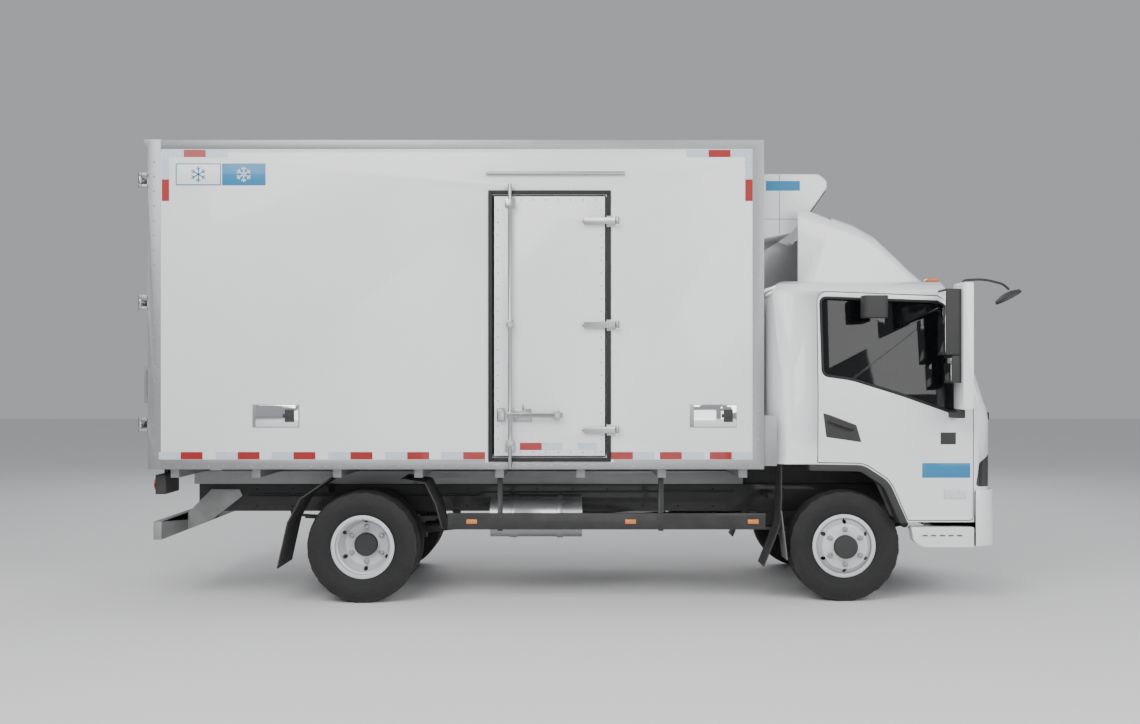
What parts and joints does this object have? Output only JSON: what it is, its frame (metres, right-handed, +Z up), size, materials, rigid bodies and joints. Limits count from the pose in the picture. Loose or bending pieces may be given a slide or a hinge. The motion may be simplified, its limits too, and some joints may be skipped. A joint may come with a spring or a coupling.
{
  "type": "refrigerated box truck",
  "caption": "Light cab-over truck with an insulated white box body, a front-mounted cooling unit, twin rear doors and a side door.",
  "frame": {"origin": "centre of the bounding box on the ground, between the wheels", "axes": "+X forwards, towards the bumper; +Y to the left; +Z up"},
  "size_m": [5.995, 2.5766, 3.197],
  "materials": {
    "frame_paint": "satin",
    "axle_paint": "satin",
    "cast_iron": "rough casting",
    "grey_metal": "mill finish",
    "white_panel": "gloss gelcoat",
    "white_paint": "gloss",
    "silver_steel": "brushed",
    "wheel_silver": "silver paint",
    "black_plastic": "grained",
    "grey_plastic": "grained",
    "lamp": "clear",
    "red_lamp": "clear",
    "tyre": "matt",
    "glass": "tinted",
    "seat_fabric": "woven",
    "load_floor": "matt"
  },
  "bodies": {
    "chassis": {"frame_rails": "frame_paint", "frame_crossmembers": "frame_paint", "box_subframe": "grey_metal", "box_floor": "load_floor", "box_roof": "white_panel", "box_front_wall": "white_panel", "box_left_wall": "white_panel", "box_right_wall": "white_panel", "box_rear_frame": "grey_metal", "box_trim": "grey_metal", "condenser_unit": "white_panel", "refrigerant_lines": "black_plastic", "engine_block": "cast_iron", "exhaust_silencer": "silver_steel", "fuel_tank": "grey_metal", "battery_box": "frame_paint", "side_guards": "grey_metal", "rear_underrun_bar": "grey_metal", "tail_lamps": "red_lamp", "mudguards": "frame_paint", "front_bumper": "white_paint", "front_axle": "axle_paint", "rear_axle": "axle_paint", "leaf_springs": "frame_paint"},
    "knuckle_left": {"knuckle_left": "axle_paint"},
    "knuckle_right": {"knuckle_right": "axle_paint"},
    "tie_rod": {"tie_rod": "axle_paint"},
    "wheel_front_left": {"tyre_front_left": "tyre", "rim_front_left": "wheel_silver"},
    "wheel_front_right": {"tyre_front_right": "tyre", "rim_front_right": "wheel_silver"},
    "wheels_rear_left": {"tyres_rear_left": "tyre", "rims_rear_left": "wheel_silver"},
    "wheels_rear_right": {"tyres_rear_right": "tyre", "rims_rear_right": "wheel_silver"},
    "cab": {"cab_shell": "white_paint", "cab_glass": "glass", "headlamps": "lamp", "roof_fairing": "white_panel", "arch_flares": "black_plastic", "dashboard": "grey_plastic", "seats": "seat_fabric"},
    "steering_wheel": {"steering_wheel": "grey_plastic"},
    "cab_door_left": {"cab_door_left": "white_paint", "door_glass_left": "glass", "mirror_left": "black_plastic"},
    "cab_door_right": {"cab_door_right": "white_paint", "door_glass_right": "glass", "mirror_right": "black_plastic"},
    "rear_door_left": {"rear_door_left": "white_panel", "rear_lock_left": "silver_steel"},
    "rear_door_right": {"rear_door_right": "white_panel", "rear_lock_right": "silver_steel"},
    "side_door": {"side_door": "white_panel", "side_lock": "silver_steel"}
  },
  "joints": [
    {"name": "steer_left", "type": "hinge", "parent": "chassis", "child": "knuckle_left", "pos_m": [1.8675, 0.715, 0.3875], "axis": [0, 0, 1], "range_deg": [-32, 32]},
    {"name": "steer_right", "type": "hinge", "parent": "chassis", "child": "knuckle_right", "pos_m": [1.8675, -0.715, 0.3875], "axis": [0, 0, 1], "range_deg": [-32, 32]},
    {"name": "tie_rod_swing", "type": "hinge", "parent": "knuckle_left", "child": "tie_rod", "pos_m": [1.7075, 0.68, 0.3], "axis": [0, 0, 1], "range_deg": [-32, 32]},
    {"name": "front_left_spin", "type": "hinge", "parent": "knuckle_left", "child": "wheel_front_left", "pos_m": [1.8675, 0.825, 0.3875], "axis": [0, 1, 0], "continuous": true},
    {"name": "front_right_spin", "type": "hinge", "parent": "knuckle_right", "child": "wheel_front_right", "pos_m": [1.8675, -0.825, 0.3875], "axis": [0, 1, 0], "continuous": true},
    {"name": "rear_left_spin", "type": "hinge", "parent": "chassis", "child": "wheels_rear_left", "pos_m": [-1.4925, 0.78, 0.3875], "axis": [0, 1, 0], "continuous": true},
    {"name": "rear_right_spin", "type": "hinge", "parent": "chassis", "child": "wheels_rear_right", "pos_m": [-1.4925, -0.78, 0.3875], "axis": [0, 1, 0], "continuous": true},
    {"name": "cab_tilt", "type": "hinge", "parent": "chassis", "child": "cab", "pos_m": [2.8425, 0, 0.86], "axis": [0, 1, 0], "range_deg": [0, 45]},
    {"name": "steering_turn", "type": "hinge", "parent": "cab", "child": "steering_wheel", "pos_m": [2.3475, 0.48, 1.545], "axis": [-0.5299, 0, 0.848], "range_deg": [-450, 450]},
    {"name": "cab_door_left_swing", "type": "hinge", "parent": "cab", "child": "cab_door_left", "pos_m": [2.7405, 0.995, 1.4], "axis": [0, 0, -1], "range_deg": [0, 65]},
    {"name": "cab_door_right_swing", "type": "hinge", "parent": "cab", "child": "cab_door_right", "pos_m": [2.7405, -0.995, 1.4], "axis": [0, 0, 1], "range_deg": [0, 65]},
    {"name": "rear_door_left_swing", "type": "hinge", "parent": "chassis", "child": "rear_door_left", "pos_m": [-2.9845, 1.122, 2.078], "axis": [0, 0, -1], "range_deg": [0, 270]},
    {"name": "rear_door_right_swing", "type": "hinge", "parent": "chassis", "child": "rear_door_right", "pos_m": [-2.9845, -1.122, 2.078], "axis": [0, 0, 1], "range_deg": [0, 270]},
    {"name": "side_door_swing", "type": "hinge", "parent": "chassis", "child": "side_door", "pos_m": [0.2695, -1.14, 1.924], "axis": [0, 0, 1], "range_deg": [0, 175]}
  ],
  "couplings": [
    {"joint": "steer_right", "follows": "steer_left", "ratio": 1},
    {"joint": "tie_rod_swing", "follows": "steer_left", "ratio": -1},
    {"joint": "steering_turn", "follows": "steer_left", "ratio": 14}
  ]
}
